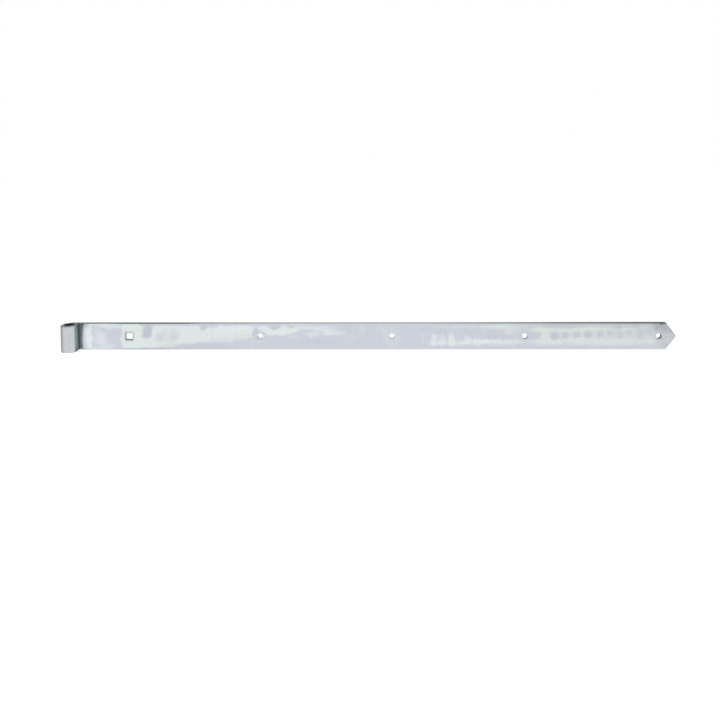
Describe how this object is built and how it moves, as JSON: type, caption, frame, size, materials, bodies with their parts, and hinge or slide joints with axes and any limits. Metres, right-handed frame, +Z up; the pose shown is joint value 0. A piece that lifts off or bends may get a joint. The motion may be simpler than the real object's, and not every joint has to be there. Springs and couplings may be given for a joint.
{
  "type": "strap hinge band",
  "caption": "Long flat steel strap hinge band with a rolled eye for a hook pin, a pointed end, a square bolt hole and round screw holes along its centreline.",
  "frame": {"origin": "on the axis of the eye, at half the band's height", "axes": "+Z up along the eye's axis as the band is fitted to a gate, +X along the strap from the eye to its point, -Y out of the strap's front face"},
  "size_m": [1, 0.0264, 0.045],
  "materials": {
    "zinc_plated_steel": "bright zinc plate with a blue passivate, cloudy lavender and pale greenish patches"
  },
  "bodies": {
    "root": {"strap_band": "zinc_plated_steel"}
  },
  "joints": []
}
